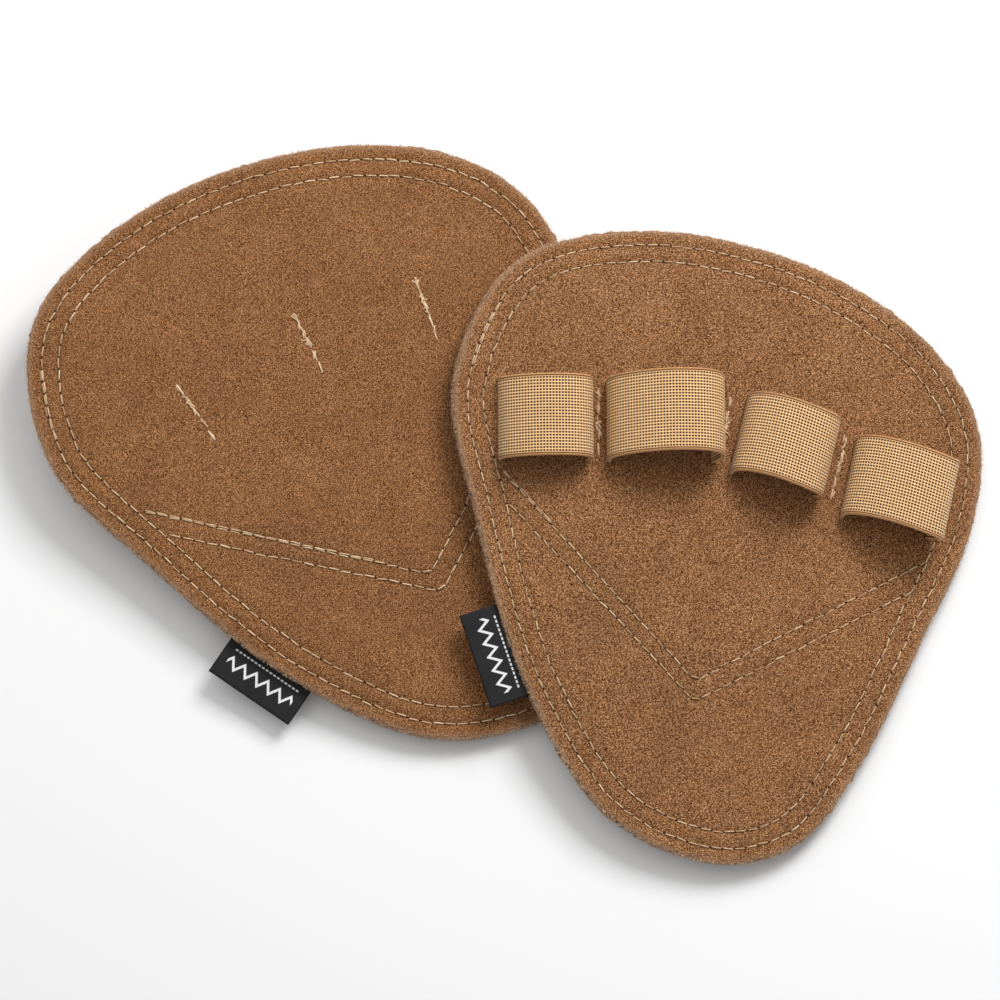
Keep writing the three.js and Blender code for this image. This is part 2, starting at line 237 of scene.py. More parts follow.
SEAM_WIDTH = 0.7
OUTER_SINK, INNER_SINK, V_SINK, TACK_SINK = 0.34, 0.32, 0.34, 0.38
ROLL_RISE, ROLL_AT, ROLL_WIDTH = 0.14, 5.4, 1.1
SWELL, SWELL_SIZE, SWELL_FROM = 0.30, 24.0, 12
DIMPLE, DIMPLE_SIZE = 0.12, 7.0
NAP, NAP_SIZE = 0.07, 1.6
PUCKER, PUCKER_SIZE = 0.16, 3.4
LIP_RISE, LIP_WIDTH, MOAT_SINK, MOAT_AT, MOAT_WIDTH = 0.34, 0.9, 0.20, 2.2, 1.2


def relief(points, palm):
    """How far the face stands proud of the flat pad: stitched channels, soft swells and puckers."""
    d = distance_to(points, COARSE_EDGE, closed=True)
    v = np.minimum(distance_to(points, V_UPPER), distance_to(points, V_LOWER))
    z = -OUTER_SINK * bell(d - OUTER_ROW, SEAM_WIDTH) - INNER_SINK * bell(d - INNER_ROW, SEAM_WIDTH)
    z += ROLL_RISE * bell(d - ROLL_AT, ROLL_WIDTH) - V_SINK * bell(v, SEAM_WIDTH)
    z += SWELL * noise2(points, SWELL_SIZE, 3 if palm else 4) * np.clip(d / SWELL_FROM, 0, 1)
    z += DIMPLE * noise2(points, DIMPLE_SIZE, 5 if palm else 6)
    z += NAP * noise2(points, NAP_SIZE, 15 if palm else 16)
    near_seams = bell(d - OUTER_ROW, 3) + bell(v, 2.0)
    z += PUCKER * noise2(points, PUCKER_SIZE, 8 if palm else 9) * near_seams * 0.6
    if palm:
        s = np.min([distance_to(points, slit, closed=True) for slit in SLITS], axis=0)
        z += LIP_RISE * bell(s, LIP_WIDTH) - MOAT_SINK * bell(s - MOAT_AT, MOAT_WIDTH)
    for centre, degrees in TACKS:
        line = turned(centre, degrees, [(-TACK_LENGTH / 2, 0), (TACK_LENGTH / 2, 0)])
        z += -TACK_SINK * bell(distance_to(points, line), LIP_WIDTH)
    return z


# ---------------------------------------------------------------- meshes
def build(name, side, verts, faces, material, pat=None, extra=None):
    """A mesh object from millimetre points in a grip's own frame."""
    verts = np.asarray(verts, float)
    if side == "left":
        faces = [tuple(reversed(f)) for f in faces]
    points = to_row(side, verts)
    points[:, 2] = np.maximum(points[:, 2], 0.0)
    mesh = bpy.data.meshes.new(name)
    mesh.from_pydata(points.tolist(), [], [tuple(int(i) for i in f) for f in faces])
    mesh.polygons.foreach_set("use_smooth", np.ones(len(mesh.polygons), bool))
    store = mesh.attributes.new("pat", "FLOAT_VECTOR", "POINT")
    store.data.foreach_set("vector", np.asarray(verts if pat is None else pat, np.float32).ravel())
    for key, values in (extra or {}).items():
        mesh.attributes.new(key, "FLOAT", "POINT").data.foreach_set("value", np.asarray(values, np.float32))
    mesh.materials.append(material)
    obj = bpy.data.objects.new(name, mesh)
    bpy.context.scene.collection.objects.link(obj)
    return obj


def triangulate(fixed, loops, free):
    """Triangles over the outline less the slits. fixed comes first and holds the constrained loops."""
    points = np.vstack([fixed, free]) if len(free) else fixed
    edges = []
    for start, count in loops:
        edges += [(start + i, start + (i + 1) % count) for i in range(count)]
    out = delaunay_2d_cdt([Vector(p) for p in points], edges, [], 0, 1e-5)
    verts = np.array([(v.x, v.y) for v in out[0]])
    if len(verts) != len(points) or np.abs(verts[: len(fixed)] - fixed).max() > 1e-4:
        raise RuntimeError("the pattern's lines cross")
    tris = np.array([f[:] for f in out[2]])
    mid = verts[tris].mean(1)
    keep = inside(mid, fixed[loops[0][0]: loops[0][0] + loops[0][1]])
    for start, count in loops[1:]:
        keep &= ~inside(mid, fixed[start: start + count])
    tris = tris[keep]
    a, b, c = (verts[tris[:, k]] for k in range(3))
    area = (b[:, 0] - a[:, 0]) * (c[:, 1] - a[:, 1]) - (b[:, 1] - a[:, 1]) * (c[:, 0] - a[:, 0])
    tris[area < 0] = tris[area < 0][:, ::-1]
    return verts, tris[np.abs(area) > 1e-9]


SEAM_OFFSETS = (-0.9, -0.4, 0.0, 0.4, 0.9)
SLIT_CLEAR, GRID_SLIT_CLEAR, RING_CLEAR = 0.3, 0.45, 0.4
MERGE = 0.25


def seam_rows(line):
    """Rows of points on and beside a seam."""
    length = np.linalg.norm(np.diff(np.array(line), axis=0), axis=1).sum()
    base = spaced(np.array(line), int(length / 1.0))
    t = np.gradient(base, axis=0)
    t /= np.linalg.norm(t, axis=1)[:, None]
    return [base + np.c_[-t[:, 1], t[:, 0]] * o for o in SEAM_OFFSETS]


def filling(pitch, last_ring, lines, slits):
    """A triangular grid over the middle of the pad, clear of rings, seams and slits."""
    xs, ys = np.arange(-70, 70, pitch), np.arange(-80, 80, pitch * 0.87)
    grid = np.array([(x + (pitch / 2 if j % 2 else 0), y) for j, y in enumerate(ys) for x in xs])
    ok = inside(grid, EDGE) & (distance_to(grid, EDGE, closed=True) > last_ring + pitch * 0.6)
    for line in lines:
        ok &= distance_to(grid, line) > SEAM_OFFSETS[-1] + pitch * 0.5
    for slit in slits:
        ok &= (distance_to(grid, slit, closed=True) > GRID_SLIT_CLEAR) & ~inside(grid, slit)
    return grid[ok]


def pattern(palm, pitch, rings, lines):
    """Points and triangles of one face in pattern millimetres, finest along the seams."""
    slits = SLITS if palm else []
    fixed = np.vstack([EDGE] + slits)
    loops = [(0, EDGE_POINTS)]
    at = EDGE_POINTS
    for slit in slits:
        loops.append((at, len(slit)))
        at += len(slit)
    last_ring = max(rings, default=0)
    rows = [inset(EDGE, r) for r in rings] + [row for line in lines for row in seam_rows(line)]
    free = np.vstack(rows) if rows else np.zeros((0, 2))
    keep = np.ones(len(free), bool)
    if rows:
        cut = EDGE_POINTS * len(rings)
        keep[cut:] = distance_to(free[cut:], EDGE, closed=True) > last_ring + RING_CLEAR
        for slit in slits:
            keep &= (distance_to(free, slit, closed=True) > SLIT_CLEAR) & ~inside(free, slit)
    free = np.vstack([free[keep], filling(pitch, last_ring, lines, slits)])
    _, unique = np.unique(np.round(free / MERGE).astype(int), axis=0, return_index=True)
    return triangulate(fixed, loops, free[np.sort(unique)]) + (loops,)


FINE_RINGS = [0.12, 0.45, 1.1, 2.0, 2.7, 3.1, 3.4, 3.7, 4.1, 5.0, 5.9, 6.7, 7.1, 7.4, 7.7, 8.1]
FINE_PITCH, COARSE_PITCH = 1.05, 5.0
FINE = {palm: pattern(palm, FINE_PITCH, FINE_RINGS, [V_UPPER, V_LOWER]) for palm in (True, False)}
COARSE = {palm: pattern(palm, COARSE_PITCH, [], []) for palm in (True, False)}
RELIEF = {palm: relief(FINE[palm][0], palm) for palm in (True, False)}
MARGIN = {palm: distance_to(FINE[palm][0], EDGE, closed=True) for palm in (True, False)}


EDGE_ROLL, ROLL_MARGIN = 0.34, 0.45
CUT_JITTER, CUT_WAVE, CUT_WAVE_SIZE = 0.16, 0.20, 4.0
HIDDEN_INSET, CUT_BULGE, CUT_SHARE = 0.12, 0.10, 0.45
# The second number is how far the painted shade along each seam row spreads, in millimetres.
FIBRE_MARGIN, SEAM_SHADE_SPREAD = 1.5, 0.6


def inward_of(ring):
    """Unit vectors into a closed counter-clockwise ring."""
    return inset(ring, 1.0) - ring


def suede_faces(palm, outer_tris, hidden_tris, loops, n1, n2):
    """Triangles of both faces, two strips round the cut edge and one strip through each slit."""
    middle = n1 + n2
    faces = [tuple(t) if palm else tuple(t[::-1]) for t in outer_tris]
    faces += [tuple(i + n1 for i in (t[::-1] if palm else t)) for t in hidden_tris]
    for start, count in loops:
        for i in range(count):
            j = (i + 1) % count
            a, b = start + i, start + j
            strips = [(a, b, n1 + b, n1 + a)]
            if start == 0:
                strips = [(a, b, middle + j, middle + i), (middle + i, middle + j, n1 + b, n1 + a)]
            faces += [tuple(q[::-1]) if palm else q for q in strips]
    return faces


def suede_layer(side, palm, material):
    """One suede layer: a napped outer face with seam channels, a plain hidden face and rough cut edges."""
    p1, t1, loops = FINE[palm]
    p2, t2, _ = COARSE[palm]
    n1, n2 = len(p1), len(p2)
    sign = 1 if palm else -1
    outer, hidden = (PAD, PALM_LOW) if palm else (0.0, SUEDE)
    seed = {"left": 11, "right": 12}[side] + (20 if palm else 0)
    d = MARGIN[palm]
    z1 = outer + sign * RELIEF[palm]
    z1 -= sign * (EDGE_ROLL * np.clip(1 - d / ROLL_MARGIN, 0, 1) ** 2)
    rough = CUT_JITTER * np.random.default_rng(seed).normal(0, 1, EDGE_POINTS)
    rough = rough + CUT_WAVE * noise2(EDGE, CUT_WAVE_SIZE, seed)
    inward = inward_of(EDGE)
    top, low = p1.copy(), p2.copy()
    top[:EDGE_POINTS] -= inward * rough[:, None]
    low[:EDGE_POINTS] += inward * HIDDEN_INSET
    mid = EDGE - inward * (rough + CUT_BULGE)[:, None]
    mid_z = outer * CUT_SHARE + hidden * (1 - CUT_SHARE)
    z2, z3 = np.full(n2, hidden), np.full(EDGE_POINTS, mid_z)
    verts = np.vstack([np.c_[top, z1], np.c_[low, z2], np.c_[mid, z3]])
    verts[:, :2] *= PATTERN_SCALE[side]
    edge = np.r_[np.clip(1 - d / FIBRE_MARGIN, 0, 1) ** 1.3, np.zeros(n2), np.ones(EDGE_POINTS)]
    edge[n1: n1 + EDGE_POINTS] = 1
    rows = np.minimum(np.abs(d - OUTER_ROW), np.abs(d - INNER_ROW))
    rows = np.minimum(rows, np.minimum(distance_to(p1, V_UPPER), distance_to(p1, V_LOWER)))
    # seam: painted shade along the stitched grooves of each seam row
    seam = np.r_[bell(rows, SEAM_SHADE_SPREAD), np.zeros(n2 + EDGE_POINTS)]
    name = f"{side}_{'palm' if palm else 'bar'}_suede"
    faces = suede_faces(palm, t1, t2, loops, n1, n2)
    return build(name, side, verts, faces, material, extra={"edge": edge, "seam": seam})


CORE_ROUGH, CORE_CHAMFER, CORE_INSETS = 0.05, 0.3, (0.25, 0.02, 0.02, 0.25)


def core_layer(side, material):
    """The foam-rubber core: a flat slab whose cut edge shows as a dark line."""
    p, t, _ = COARSE[False]
    n = len(p)
    rough = CORE_ROUGH * np.random.default_rng(31).normal(0, 1, EDGE_POINTS)
    rims = [EDGE + inward_of(EDGE) * (rough + k)[:, None] for k in CORE_INSETS]
    zs = [CORE_LOW, CORE_LOW + CORE_CHAMFER, CORE_HIGH - CORE_CHAMFER, CORE_HIGH]
    low, high = p.copy(), p.copy()
    low[:EDGE_POINTS], high[:EDGE_POINTS] = rims[0], rims[3]
    verts = np.vstack([np.c_[low, np.full(n, CORE_LOW)], np.c_[high, np.full(n, CORE_HIGH - 0.02)]]
                      + [np.c_[rims[k], np.full(EDGE_POINTS, zs[k])] for k in (1, 2)])
    faces = [tuple(f[::-1]) for f in t] + [tuple(i + n for i in f) for f in t]
    rows = [0, 2 * n, 2 * n + EDGE_POINTS, n]
    for a, b in zip(rows[:-1], rows[1:]):
        for i in range(EDGE_POINTS):
            j = (i + 1) % EDGE_POINTS
            faces.append((a + i, a + j, b + j, b + i))
    verts[:, :2] *= PATTERN_SCALE[side]
    return build(f"{side}_core", side, verts, faces, material)


def tube(path, radii, sides=6):
    """Vertices and faces of a closed tube along 3-D points."""
    path = np.asarray(path, float)
    t = np.gradient(path, axis=0)
    t /= np.linalg.norm(t, axis=1)[:, None] + 1e-12
    up = np.where(np.abs(t[:, 2:3]) > 0.95, [[1.0, 0, 0]], [[0, 0, 1.0]])
    a = np.cross(t, up)
    a /= np.linalg.norm(a, axis=1)[:, None] + 1e-12
    b = np.cross(a, t)
    ang = np.linspace(0, 2 * math.pi, sides, endpoint=False)
    rings = [path[i] + radii[i] * (np.cos(ang)[:, None] * a[i] + np.sin(ang)[:, None] * b[i])
             for i in range(len(path))]
    verts = np.vstack(rings + [path[:1], path[-1:]])
    faces = []
    for i in range(len(path) - 1):
        for k in range(sides):
            m = (k + 1) % sides
            faces.append((i * sides + k, i * sides + m, (i + 1) * sides + m, (i + 1) * sides + k))
    first, last = len(path) * sides, len(path) * sides + 1
    for k in range(sides):
        m = (k + 1) % sides
        faces.append((first, m, k))
        faces.append((last, (len(path) - 1) * sides + k, (len(path) - 1) * sides + m))
    return verts, faces


class Batch:
    """Collects many small closed shapes into one mesh."""

    def __init__(self):
        self.verts, self.faces, self.tones, self.count = [], [], [], 0

    def add(self, verts, faces, tone=0.0):
        self.faces += [tuple(i + self.count for i in f) for f in faces]
        self.verts.append(verts)
        self.tones.append(np.full(len(verts), tone))
        self.count += len(verts)

    def build(self, name, side, material):
        verts = np.vstack(self.verts)
        return build(name, side, verts, self.faces, material, extra={"tone": np.concatenate(self.tones)})


STITCH, TACK_STITCH = 2.9, 3.1
STITCH_ALONG = np.array([0.0, 0.10, 0.24, 0.5, 0.76, 0.90, 1.0])
STITCH_LIFT = np.array([-0.30, 0.04, 0.18, 0.22, 0.18, 0.04, -0.30])
STITCH_GIRTH = np.array([0.8, 1.0, 1.0, 1.08, 1.0, 1.0, 0.8])


def stitches(batch, line, palm, radius, step=STITCH, closed=False, jitter=0.16, seed=1, doubled=()):
    """Lockstitches along a pattern line: each arches out of one needle hole and into the next."""
    rng = np.random.default_rng(seed)
    line = np.asarray(line, float)
    pts = np.vstack([line, line[:1]]) if closed else line
    length = np.linalg.norm(np.diff(pts, axis=0), axis=1).sum()
    count = max(1, round(length / step))
    holes = spaced(line, count if closed else count + 1, closed)
    ends = np.roll(holes, -1, 0) if closed else holes[1:]
    holes = holes if closed else holes[:-1]
    sign = 1 if palm else -1
    face = PAD if palm else 0.0
    heights = relief((holes + ends) / 2, palm)
    for i, (p, q, base) in enumerate(zip(holes, ends, heights)):
        d = (q - p) * 0.44
        side_way = np.array([-d[1], d[0]]) / max(np.hypot(*d), 1e-6)
        for extra in range(2 if any(lo <= i / count < hi for lo, hi in doubled) else 1):
            m = (p + q) / 2 + rng.normal(0, jitter, 2) * 0.6 + side_way * 0.34 * extra
            tilt = rng.normal(0, 0.06)
            run = np.array([d[0] - tilt * d[1], d[1] + tilt * d[0]])
            path = m + (STITCH_ALONG[:, None] * 2 - 1) * run
            z = face + sign * (base + STITCH_LIFT + radius * 0.3 + 0.10 * extra)
            girth = radius * STITCH_GIRTH * rng.uniform(0.85, 1.15)
            batch.add(*tube(np.c_[path, z], girth), tone=rng.uniform(-1, 1))
    return np.vstack([holes, ends[-1:]])


def bartack(batch, centre, degrees, palm, seed):
    """A close row of crossing stitches: a straight base with slanting cover stitches."""
    rng = np.random.default_rng(seed)
    sign = 1 if palm else -1
    face = PAD if palm else 0.0
    half = TACK_LENGTH / 2 + 0.3
    base = turned(centre, degrees, [(-half, 0), (half, 0)])
    holes = stitches(batch, base, palm, 0.22, step=TACK_STITCH, seed=seed, jitter=0.22)
    ts = np.array([0.0, 0.15, 0.5, 0.85, 1.0])
    lift = np.array([-0.2, 0.2, 0.34, 0.2, -0.2])
    level = relief(base.mean(0)[None, :], palm)[0]
    spread, bunch = rng.uniform(-half + 1, half - 1, 5), rng.normal(half * 0.1, half * 0.25, 8)
    for along in np.r_[spread, bunch, half - 1.4, half - 0.9]:
        length, slant = rng.uniform(1.2, 2.4), rng.normal(0, 0.55)
        run = np.array([math.cos(slant), math.sin(slant)]) * length / 2
        path = np.array([along, rng.normal(0, 0.26)]) + (ts[:, None] * 2 - 1) * run
        path = turned(centre, degrees, path)
        z = face + sign * (level + lift + rng.uniform(0, 0.12))
        batch.add(*tube(np.c_[path, z], 0.20 * rng.uniform(0.85, 1.15, 5)), tone=rng.uniform(-1, 1))
    return holes


PIT_SIDES, PIT_LONG, PIT_WIDE, PIT_DEEP = 8, 0.46, 0.24, 0.4


def hole_shadows(batch, holes, palm, along):
    """Dark ellipses of painted shadow at the needle holes, one at each hole."""
    sign = 1 if palm else -1
    face = PAD if palm else 0.0
    z = relief(holes, palm)
    ang = np.linspace(0, 2 * math.pi, PIT_SIDES, endpoint=False)
    for (x, y), h, t in zip(holes, z, along):
        n = np.array([-t[1], t[0]])
        rim = np.array([x, y]) + np.cos(ang)[:, None] * t * PIT_LONG + np.sin(ang)[:, None] * n * PIT_WIDE
        top = np.c_[rim, np.full(PIT_SIDES, face + sign * (h + 0.035))]
        low = [[x, y, face + sign * (h - PIT_DEEP)]]
        faces = [tuple(range(PIT_SIDES))] + [((k + 1) % PIT_SIDES, k, PIT_SIDES) for k in range(PIT_SIDES)]
        if not palm:
            faces = [f[::-1] for f in faces]
        batch.add(np.vstack([top, low]), faces)


def directions(points):
    """Unit vectors along a row of points."""
    t = np.gradient(points, axis=0)
    return t / (np.linalg.norm(t, axis=1)[:, None] + 1e-12)


# ---------------------------------------------------------------- materials
def new_material(name):
    m = bpy.data.materials.new(name)
    m.use_nodes = True
    nt = m.node_tree
    nt.nodes.clear()
    out = nt.nodes.new("ShaderNodeOutputMaterial")
    bsdf = nt.nodes.new("ShaderNodeBsdfPrincipled")
    nt.links.new(bsdf.outputs[0], out.inputs[0])
    return m, nt, bsdf


def node(nt, kind, inputs=None, **props):
    n = nt.nodes.new(kind)
    for k, v in props.items():
        setattr(n, k, v)
    for k, v in (inputs or {}).items():
        if isinstance(v, bpy.types.NodeSocket):
            nt.links.new(v, n.inputs[k])
        else:
            n.inputs[k].default_value = v
    return n


def math_node(nt, op, a, b=0.0, c=None):
    n = node(nt, "ShaderNodeMath", operation=op)
    for i, v in enumerate((a, b, c)):
        if isinstance(v, bpy.types.NodeSocket):
            nt.links.new(v, n.inputs[i])
        elif v is not None:
            n.inputs[i].default_value = v
    return n.outputs[0]


def product(nt, a, b):
    return math_node(nt, "MULTIPLY", a, b)


def centred(nt, value, gain, base):
    """base + gain * (value - 0.5)"""
    return math_node(nt, "MULTIPLY_ADD", math_node(nt, "SUBTRACT", value, 0.5), gain, base)


def stripe(nt, value, middle, half_width):
    """1 within half_width of the middle, 0 outside."""
    away = math_node(nt, "ABSOLUTE", math_node(nt, "SUBTRACT", value, middle))
    return math_node(nt, "LESS_THAN", away, half_width)


def mix_colour(nt, factor, a, b):
    n = node(nt, "ShaderNodeMix", data_type="RGBA")
    for i, v in ((0, factor), (6, a), (7, b)):
        if isinstance(v, bpy.types.NodeSocket):
            nt.links.new(v, n.inputs[i])
        else:
            n.inputs[i].default_value = v
    return n.outputs[2]


def srgb(*colour):
    """An 8-bit sRGB colour as linear RGBA."""
    linear = [c / 255 / 12.92 if c / 255 <= 0.04045 else ((c / 255 + 0.055) / 1.055) ** 2.4 for c in colour]
    return (*linear, 1.0)


def attribute(nt, name, output="Fac"):
    return node(nt, "ShaderNodeAttribute", attribute_type="GEOMETRY", attribute_name=name).outputs[output]


def pattern_vector(nt):
    """Pattern millimetres, which the "pat" attribute carries."""
    return attribute(nt, "pat", "Vector")


def noise(nt, vector, scale, detail=2.0, rough=0.5, distortion=0.0):
    inputs = {"Vector": vector, "Scale": scale, "Detail": detail, "Roughness": rough}
    return node(nt, "ShaderNodeTexNoise", {**inputs, "Distortion": distortion}).outputs["Fac"]


def finish(nt, bsdf, colour, height, depth, strength=1.0, **surface):
    """Colour, bump of a depth in millimetres, and plain surface values given as Name_With_Underscores."""
    nt.links.new(colour, bsdf.inputs["Base Color"])
    bump = node(nt, "ShaderNodeBump", {"Strength": strength, "Distance": depth * MM, "Height": height})
    nt.links.new(bump.outputs[0], bsdf.inputs["Normal"])
    for key, value in surface.items():
        bsdf.inputs[key.replace("_", " ")].default_value = value


def ramp(nt, factor, stops):
    n = node(nt, "ShaderNodeValToRGB", {"Fac": factor})
    cr = n.color_ramp
    while len(cr.elements) < len(stops):
        cr.elements.new(0.5)
    for e, (pos, col) in zip(cr.elements, stops):
        e.position, e.color = pos, col
    return n.outputs["Color"]


def suede_material(name, dark, mid, light, grain, contrast, depth):
    """Napped suede: flecks of nap, soft blotches, broad patches of painted light and shade, painted shade
    along the seams, pale fibre at the cut edges.
    """
    m, nt, bsdf = new_material(name)
    v = pattern_vector(nt)
    fleck = noise(nt, v, grain, 2.0, 0.65, 0.8)
    cells = {"Vector": v, "Scale": grain * 0.72, "Randomness": 1.0}
    pebble = node(nt, "ShaderNodeTexVoronoi", cells, feature="SMOOTH_F1").outputs["Distance"]
    tuft = noise(nt, v, grain * 0.45, 2.0, 0.5, 0.4)
    # patch: broad soft patches, lighter and darker, of painted light and shade across the pad
    patch = noise(nt, v, 0.05, 3.0, 0.55, 0.5)
    blotch = noise(nt, v, 0.22, 2.0, 0.5, 0.3)
    mixed = centred(nt, fleck, 0.80, 0.5)
    mixed = math_node(nt, "MULTIPLY_ADD", math_node(nt, "SUBTRACT", 0.42, pebble), 0.20, mixed)
    mixed = centred(nt, tuft, 0.08, mixed)
    colour = ramp(nt, centred(nt, mixed, contrast, 0.5), [(0.05, dark), (0.50, mid), (0.95, light)])
    # shade: the broad patches are painted light and shade; the smaller blotches are the suede's own mottling
    shade = centred(nt, blotch, 0.16, centred(nt, patch, 0.55, 1.0))
    # Painted shade: the suede is darkened along the stitched seams.
    shade = product(nt, shade, math_node(nt, "MULTIPLY_ADD", attribute(nt, "seam"), -0.16, 1.0))
    toned = node(nt, "ShaderNodeVectorMath", {0: colour}, operation="SCALE")
    nt.links.new(shade, toned.inputs["Scale"])
    fibre = noise(nt, v, 2.6, 3.0, 0.7)
    pale = ramp(nt, fibre, [(0.3, srgb(132, 92, 62)), (0.62, srgb(226, 190, 156))])
    factor = product(nt, attribute(nt, "edge"), math_node(nt, "MULTIPLY_ADD", fibre, 1.5, -0.15))
    factor = math_node(nt, "MAXIMUM", math_node(nt, "MINIMUM", factor, 0.9), 0.0)
    height = math_node(nt, "MULTIPLY_ADD", math_node(nt, "SUBTRACT", 1.0, pebble), 0.5, fleck)
    finish(nt, bsdf, mix_colour(nt, factor, toned.outputs[0], pale), height, depth, Roughness=0.95,
           Specular_IOR_Level=0.12, Sheen_Weight=0.10, Sheen_Roughness=0.6, Sheen_Tint=srgb(222, 178, 140))
    return m


def plain_material(name, low, high, scale, depth, roughness, tone=0.0):
    """A plain grainy colour; tone is how much each small shape's own tone shifts it."""
    m, nt, bsdf = new_material(name)
    grain = noise(nt, pattern_vector(nt), scale, 3.0, 0.6)
    factor = math_node(nt, "MULTIPLY_ADD", attribute(nt, "tone"), tone, grain) if tone else grain
    colour = ramp(nt, factor, [(0.25, low), (0.75, high)])
    finish(nt, bsdf, colour, grain, depth, Roughness=roughness, Specular_IOR_Level=0.2)
    return m


def cell(nt, value, pitch):
    """Distance from the middle of its cell, 0 in the middle and 1 at the border."""
    wrapped = math_node(nt, "FRACT", math_node(nt, "DIVIDE", value, pitch))
    return math_node(nt, "ABSOLUTE", math_node(nt, "MULTIPLY_ADD", wrapped, 2.0, -1.0))


def soft_step(nt, value, low, high):
    inputs = {"Value": value, "From Min": low, "From Max": high}
    return node(nt, "ShaderNodeMapRange", inputs, interpolation_type="SMOOTHSTEP").outputs["Result"]


PINS_ACROSS = 27
PIN_PITCH = BAND_WIDTH / PINS_ACROSS
FIELD_HALF, GUIDE_LINE = 9.2, 9.45


def elastic_material():
    """Woven elastic: rows of pin holes painted dark as shadow, painted shade between the warp ribs, corded
    selvedges with a dark guide line.
    """
    m, nt, bsdf = new_material("woven_elastic")
    v = pattern_vector(nt)
    sep = node(nt, "ShaderNodeSeparateXYZ", {0: v})
    du, dw = (cell(nt, sep.outputs[k], PIN_PITCH) for k in (0, 1))
    far = math_node(nt, "ABSOLUTE", sep.outputs[1])
    # pin holes: painted shadow where the weave is open
    pin = product(nt, soft_step(nt, du, 0.28, 0.52), soft_step(nt, dw, 0.28, 0.52))
    hole = product(nt, pin, math_node(nt, "LESS_THAN", far, FIELD_HALF))
    line = stripe(nt, far, GUIDE_LINE, 0.13)
    thread = noise(nt, v, 6.0, 2.0, 0.6)
    yarn = math_node(nt, "MULTIPLY_ADD", thread, 0.6, product(nt, noise(nt, v, 0.8, 2.0), 0.4))
    base = ramp(nt, yarn, [(0.3, srgb(216, 166, 110)), (0.7, srgb(250, 212, 158))])
    # Painted shade between the warp ribs, darkest midway between them.
    between = product(nt, math_node(nt, "POWER", dw, 3.0), 0.65)
    rib = mix_colour(nt, between, base, srgb(150, 98, 52))
    cord = product(nt, math_node(nt, "GREATER_THAN", far, FIELD_HALF), 0.6)
    rib = mix_colour(nt, cord, rib, srgb(168, 112, 60))
    # Painted shadow: the pin holes and the guide line darken to near black-brown.
    shadow = math_node(nt, "MAXIMUM", hole, product(nt, line, 0.85))
    height = math_node(nt, "SUBTRACT", product(nt, thread, 0.3), hole)
    height = math_node(nt, "SUBTRACT", height, product(nt, math_node(nt, "POWER", du, 2.0), 0.25))
    finish(nt, bsdf, mix_colour(nt, shadow, rib, srgb(58, 27, 7)), height, 0.12, 0.9, Roughness=0.72,
           Specular_IOR_Level=0.25, Sheen_Weight=0.12)
    return m


ZIGZAG_PITCH, ZIGZAG_SWING, ZIGZAG_AT, ZIGZAG_HALF = 3.4, 2.6, 3.5, 0.55
DOTS_PITCH, DOTS_AT, DOTS_HALF = 1.1, 1.5, 0.22
MOTIF_HALF = 9.4


def label_material():
    """Black satin ribbon with a plain woven zigzag and a dotted line."""
    m, nt, bsdf = new_material("label_ribbon")
    v = pattern_vector(nt)
    sep = node(nt, "ShaderNodeSeparateXYZ", {0: v})
    u, w, mark = sep.outputs[0], sep.outputs[1], sep.outputs[2]
    zigzag = math_node(nt, "MULTIPLY_ADD", cell(nt, u, ZIGZAG_PITCH), ZIGZAG_SWING, ZIGZAG_AT)
    dots = math_node(nt, "GREATER_THAN", cell(nt, u, DOTS_PITCH), 0.35)
    dots = product(nt, stripe(nt, w, DOTS_AT, DOTS_HALF), dots)
    white = math_node(nt, "MAXIMUM", stripe(nt, w, zigzag, ZIGZAG_HALF), dots)
    white = product(nt, white, stripe(nt, u, 0.0, MOTIF_HALF))
    white = product(nt, white, mark)
    weft = product(nt, cell(nt, w, 0.22), cell(nt, u, 0.3))
    grain = noise(nt, v, 5.0, 2.0, 0.6)
    black = ramp(nt, grain, [(0.3, srgb(6, 6, 7)), (0.75, srgb(26, 25, 26))])
    pale = ramp(nt, grain, [(0.3, srgb(196, 196, 196)), (0.7, srgb(246, 246, 246))])
    height = math_node(nt, "ADD", product(nt, weft, 0.5), white)
    finish(nt, bsdf, mix_colour(nt, white, black, pale), height, 0.10, 0.8, Roughness=0.6,
           Specular_IOR_Level=0.3)
    return m


COARSE_NAP = suede_material("palm_suede_coarse", srgb(54, 26, 9), srgb(148, 90, 44), srgb(242, 188, 138),
                            grain=4.6, contrast=4.2, depth=0.66)
FINE_NAP = suede_material("bar_suede_fine", srgb(56, 27, 10), srgb(140, 85, 42), srgb(230, 173, 122),
                          grain=5.2, contrast=4.2, depth=0.54)
CORE_MATERIAL = plain_material("core_foam", srgb(16, 16, 17), srgb(42, 42, 44), 3.0, 0.15, 0.85)
THREAD_MATERIAL = plain_material("tan_thread", srgb(174, 135, 97), srgb(232, 204, 168), 5.0, 0.06, 0.75, 0.18)
# Painted shadow: near-black brown for the needle holes.
HOLE_SHADOW_MATERIAL = plain_material("needle_hole_shadow", srgb(36, 20, 12), srgb(66, 40, 24), 5.0, 0.02, 0.95)
FIBRE_MATERIAL = plain_material("cut_fibre", srgb(176, 134, 98), srgb(238, 208, 178), 2.0, 0.01, 0.95, 0.3)
ELASTIC_MATERIAL = elastic_material()
LABEL_MATERIAL = label_material()


# ---------------------------------------------------------------- pieces of one grip
def crease_points(side):
    """Where bending starts, on the finger side of the crease, and where it ends on the flap."""
    n = np.array([-math.sin(CREASE_ANGLE), math.cos(CREASE_ANGLE)])
    base = np.array([0.0, CREASE_Y * PATTERN_SCALE[side]])
    p, q = base + n * BEND_ABOVE, base - n * BEND_BELOW
    return to_row(side, [(*p, PAD)])[0], to_row(side, [(*q, PAD)])[0]


def bend(obj, side):
    """A piece that runs across the crease: the crease points are worked out and its transform is baked into
    its mesh.
    """
    start, end = crease_points(side)
    tuple(start)
    tuple(end)
    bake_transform(obj)


FIBRE_GIRTH = [0.055, 0.04, 0.015]


